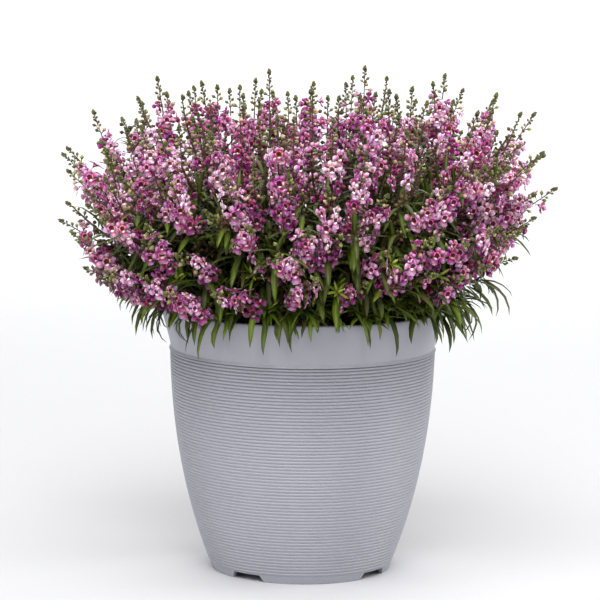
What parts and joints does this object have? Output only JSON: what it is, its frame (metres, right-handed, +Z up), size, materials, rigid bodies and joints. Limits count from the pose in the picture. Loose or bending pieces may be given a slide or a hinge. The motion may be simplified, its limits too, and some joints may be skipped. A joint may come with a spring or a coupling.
{
  "type": "potted angelonia",
  "caption": "Ribbed plastic flower pot with soil and a dome of flowering angelonia spikes, for a balcony or border.",
  "frame": {"origin": "centre of the pot's foot, on the surface it stands on", "axes": "+Z up along the pot's axis, the front of the picture looks to -Y, +X is its right"},
  "size_m": [0.4913, 0.4928, 0.4965],
  "materials": {
    "pot_plastic": "matte",
    "potting_soil": "matte",
    "foliage": "satin",
    "blossom": "matte"
  },
  "bodies": {
    "root": {"flower_spike_01": "blossom", "flower_spike_02": "blossom", "flower_spike_03": "blossom", "flower_spike_04": "blossom", "flower_spike_05": "blossom", "flower_spike_06": "blossom", "flower_spike_07": "blossom", "flower_spike_08": "blossom", "flower_spike_09": "blossom", "flower_spike_10": "blossom", "flower_spike_11": "blossom", "flower_spike_12": "blossom", "flower_spike_13": "blossom", "flower_spike_14": "blossom", "flower_spike_15": "blossom", "flower_spike_16": "blossom", "flower_spike_17": "blossom", "flower_spike_18": "blossom", "flower_spike_19": "blossom", "flower_spike_20": "blossom", "flower_spike_21": "blossom", "flower_spike_22": "blossom", "flower_spike_23": "blossom", "flower_spike_24": "blossom", "flower_spike_25": "blossom", "flower_spike_26": "blossom", "flower_spike_27": "blossom", "flower_spike_28": "blossom", "flower_spike_29": "blossom", "flower_spike_30": "blossom", "flower_spike_31": "blossom", "flower_spike_32": "blossom", "flower_spike_33": "blossom", "flower_spike_34": "blossom", "flower_spike_35": "blossom", "flower_spike_36": "blossom", "flower_spike_37": "blossom", "flower_spike_38": "blossom", "flower_spike_39": "blossom", "flower_spike_40": "blossom", "flower_spike_41": "blossom", "flower_spike_42": "blossom", "flower_spike_43": "blossom", "flower_spike_44": "blossom", "flower_spike_45": "blossom", "flower_spike_46": "blossom", "flower_spike_47": "blossom", "flower_spike_48": "blossom", "plant_1": "foliage", "plant_2": "foliage", "plant_3": "foliage", "pot": "pot_plastic", "soil": "potting_soil"}
  },
  "joints": []
}
